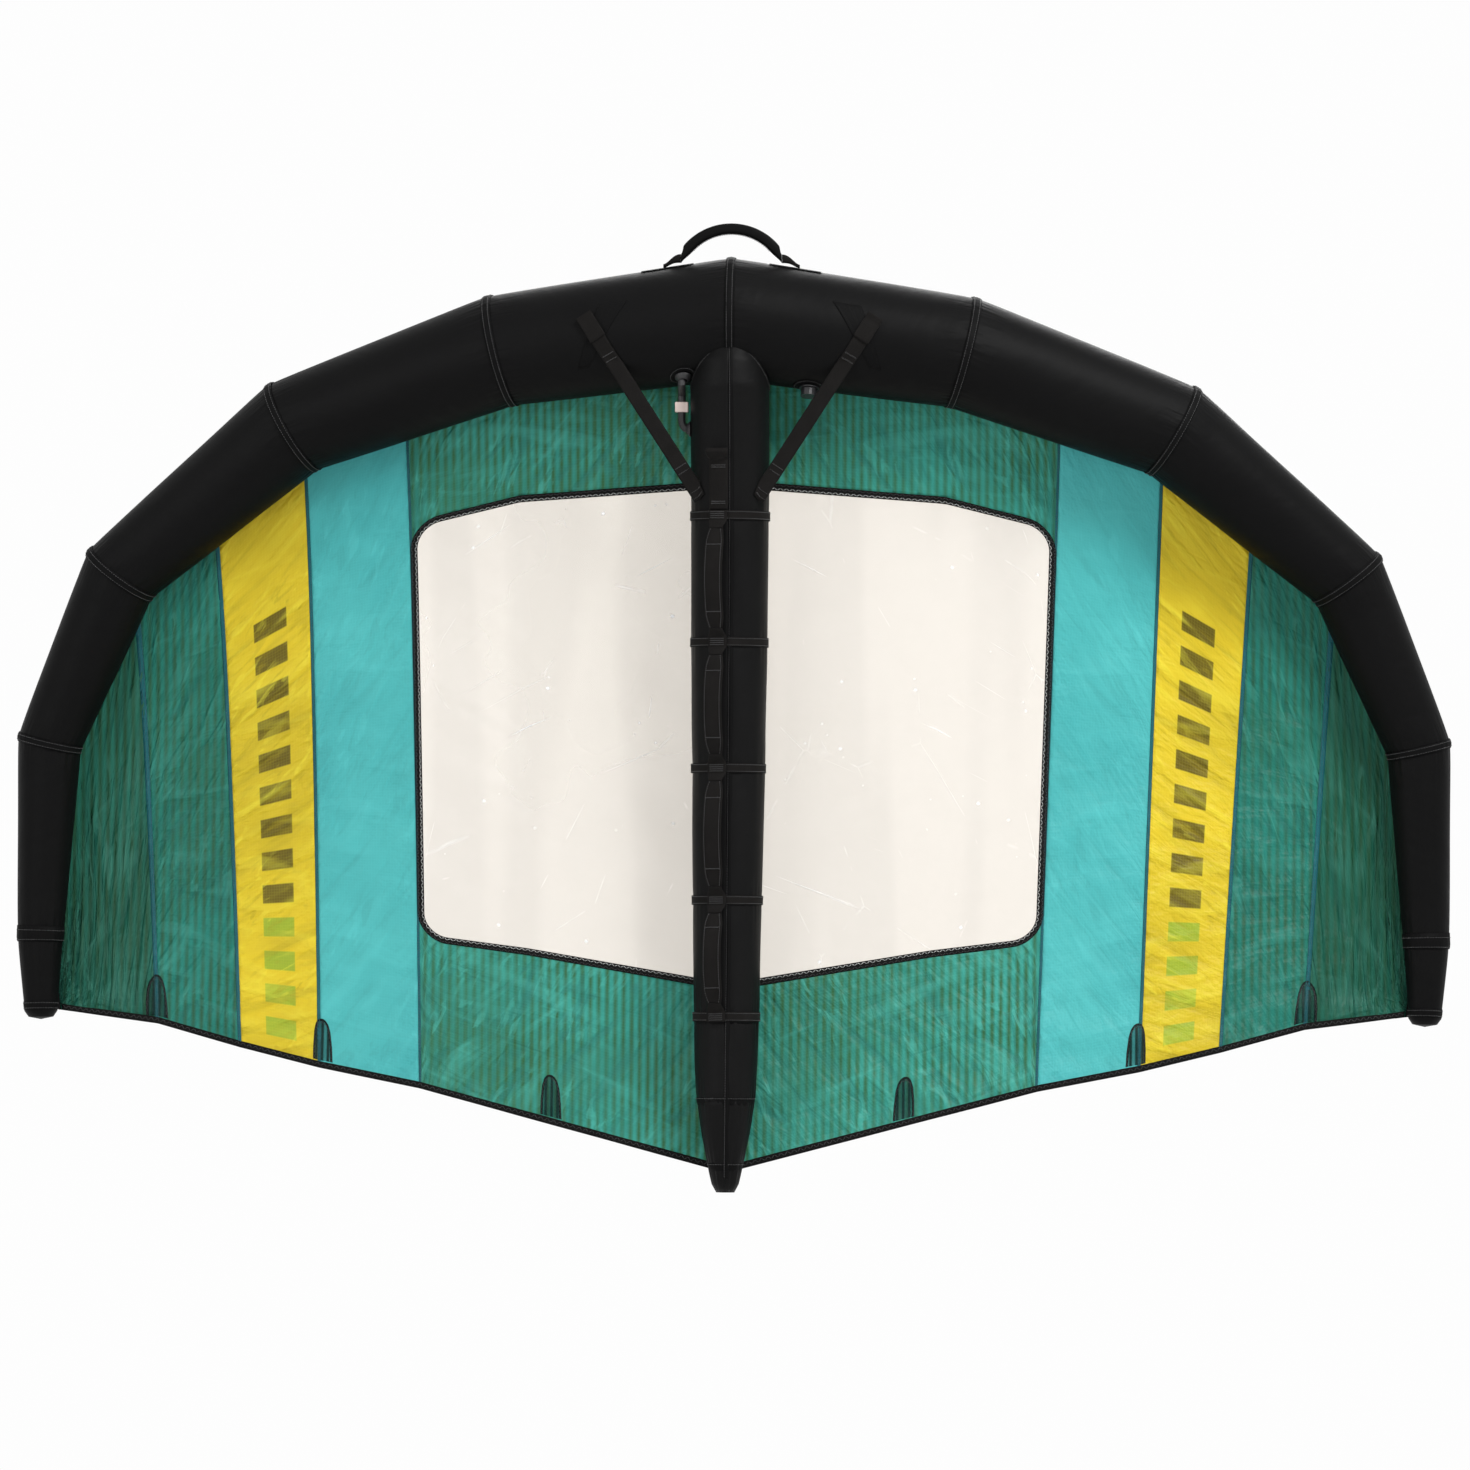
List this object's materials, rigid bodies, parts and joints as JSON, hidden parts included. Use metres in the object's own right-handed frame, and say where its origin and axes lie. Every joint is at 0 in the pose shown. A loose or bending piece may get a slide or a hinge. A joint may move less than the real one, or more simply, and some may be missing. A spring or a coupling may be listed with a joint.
{
  "type": "wingfoil wing",
  "caption": "Inflatable hand-held sail: mitred leading edge tube, centre strut with swinging grab handles, cloth canopy with clear windows.",
  "frame": {"origin": "top of the leading edge tube on the centre line, under the front handle", "axes": "+X along the span to the rider's right as seen from the strut side, +Y from the strut to the canopy's back, +Z from the trailing edge to the leading edge"},
  "size_m": [2.8128, 0.4365, 1.8833],
  "materials": {
    "sleeve_cloth": "satin",
    "black_webbing": "matte",
    "bladder_film": "satin",
    "window_film": "gloss",
    "green_ripstop": "satin",
    "tip_ripstop": "satin",
    "teal_ripstop": "satin",
    "yellow_ripstop": "satin",
    "pocket_cloth": "matte",
    "dark_plastic": "satin",
    "pale_plastic": "satin",
    "hose_rubber": "satin"
  },
  "bodies": {
    "wing": {"batten_pocket_left_1": "pocket_cloth", "batten_pocket_left_2": "pocket_cloth", "batten_pocket_left_3": "pocket_cloth", "batten_pocket_right_1": "pocket_cloth", "batten_pocket_right_2": "pocket_cloth", "batten_pocket_right_3": "pocket_cloth", "bladder_hose": "hose_rubber", "bracing_strap_left": "black_webbing", "bracing_strap_right": "black_webbing", "front_handle_foot_left": "black_webbing", "front_handle_foot_right": "black_webbing", "front_panel_left": "green_ripstop", "front_panel_right": "green_ripstop", "green_panel_left": "green_ripstop", "green_panel_right": "green_ripstop", "handle_webbing_tail": "black_webbing", "inflation_valve": "dark_plastic", "le_bladder": "bladder_film", "le_sleeve_left_1": "sleeve_cloth", "le_sleeve_left_2": "sleeve_cloth", "le_sleeve_left_3": "sleeve_cloth", "le_sleeve_left_4": "sleeve_cloth", "le_sleeve_left_5": "sleeve_cloth", "le_sleeve_left_6": "sleeve_cloth", "le_sleeve_right_1": "sleeve_cloth", "le_sleeve_right_2": "sleeve_cloth", "le_sleeve_right_3": "sleeve_cloth", "le_sleeve_right_4": "sleeve_cloth", "le_sleeve_right_5": "sleeve_cloth", "le_sleeve_right_6": "sleeve_cloth", "rear_panel_left": "green_ripstop", "rear_panel_right": "green_ripstop", "strut_band_1": "black_webbing", "strut_band_2": "black_webbing", "strut_band_3": "black_webbing", "strut_band_4": "black_webbing", "strut_band_5": "black_webbing", "strut_bladder": "bladder_film", "strut_sleeve_main": "sleeve_cloth", "strut_sleeve_rear": "sleeve_cloth", "strut_tail_cap": "sleeve_cloth", "strut_tail_cone": "sleeve_cloth", "teal_panel_left": "teal_ripstop", "teal_panel_right": "teal_ripstop", "tip_panel_left": "tip_ripstop", "tip_panel_right": "tip_ripstop", "trailing_hem": "black_webbing", "window_binding_left": "black_webbing", "window_binding_right": "black_webbing", "window_pane_left": "window_film", "window_pane_right": "window_film", "yellow_band_left": "yellow_ripstop", "yellow_band_right": "yellow_ripstop"},
    "front_grip": {"front_handle": "black_webbing"},
    "cap": {"valve_cap": "dark_plastic"},
    "clip": {"pinch_clip": "pale_plastic"},
    "grip_1": {"grab_handle_1": "black_webbing"},
    "grip_2": {"grab_handle_2": "black_webbing"},
    "grip_3": {"grab_handle_3": "black_webbing"},
    "grip_4": {"grab_handle_4": "black_webbing"}
  },
  "joints": [
    {"name": "grab_handle_1_swing", "type": "hinge", "parent": "wing", "child": "grip_1", "pos_m": [-0.02367, -0.08559, -0.50229], "axis": [0.0015, 0.0173, -0.9998], "range_deg": [-40, 40]},
    {"name": "grab_handle_2_swing", "type": "hinge", "parent": "wing", "child": "grip_2", "pos_m": [-0.0233, -0.08133, -0.74797], "axis": [0.0035, -0.0323, -0.9995], "range_deg": [-40, 40]},
    {"name": "grab_handle_3_swing", "type": "hinge", "parent": "wing", "child": "grip_3", "pos_m": [-0.02243, -0.08924, -0.99282], "axis": [0.0039, -0.0509, -0.9987], "range_deg": [-40, 40]},
    {"name": "grab_handle_4_swing", "type": "hinge", "parent": "wing", "child": "grip_4", "pos_m": [-0.02143, -0.10229, -1.24896], "axis": [0.0042, -0.0701, -0.9975], "range_deg": [-40, 40]},
    {"name": "front_handle_fold", "type": "hinge", "parent": "wing", "child": "front_grip", "pos_m": [0, 0, -0.0007], "axis": [1, 0, 0], "range_deg": [-60, 60], "stiffness_Nm_per_rad": 0.3},
    {"name": "valve_cap_pull", "type": "slide", "parent": "wing", "child": "cap", "axis": [-0.0722, -0.2569, -0.9637], "range_m": [0, 0.018]},
    {"name": "pinch_clip_slide", "type": "slide", "parent": "wing", "child": "clip", "axis": [0, 0, 1], "range_m": [-0.01, 0.01]}
  ]
}
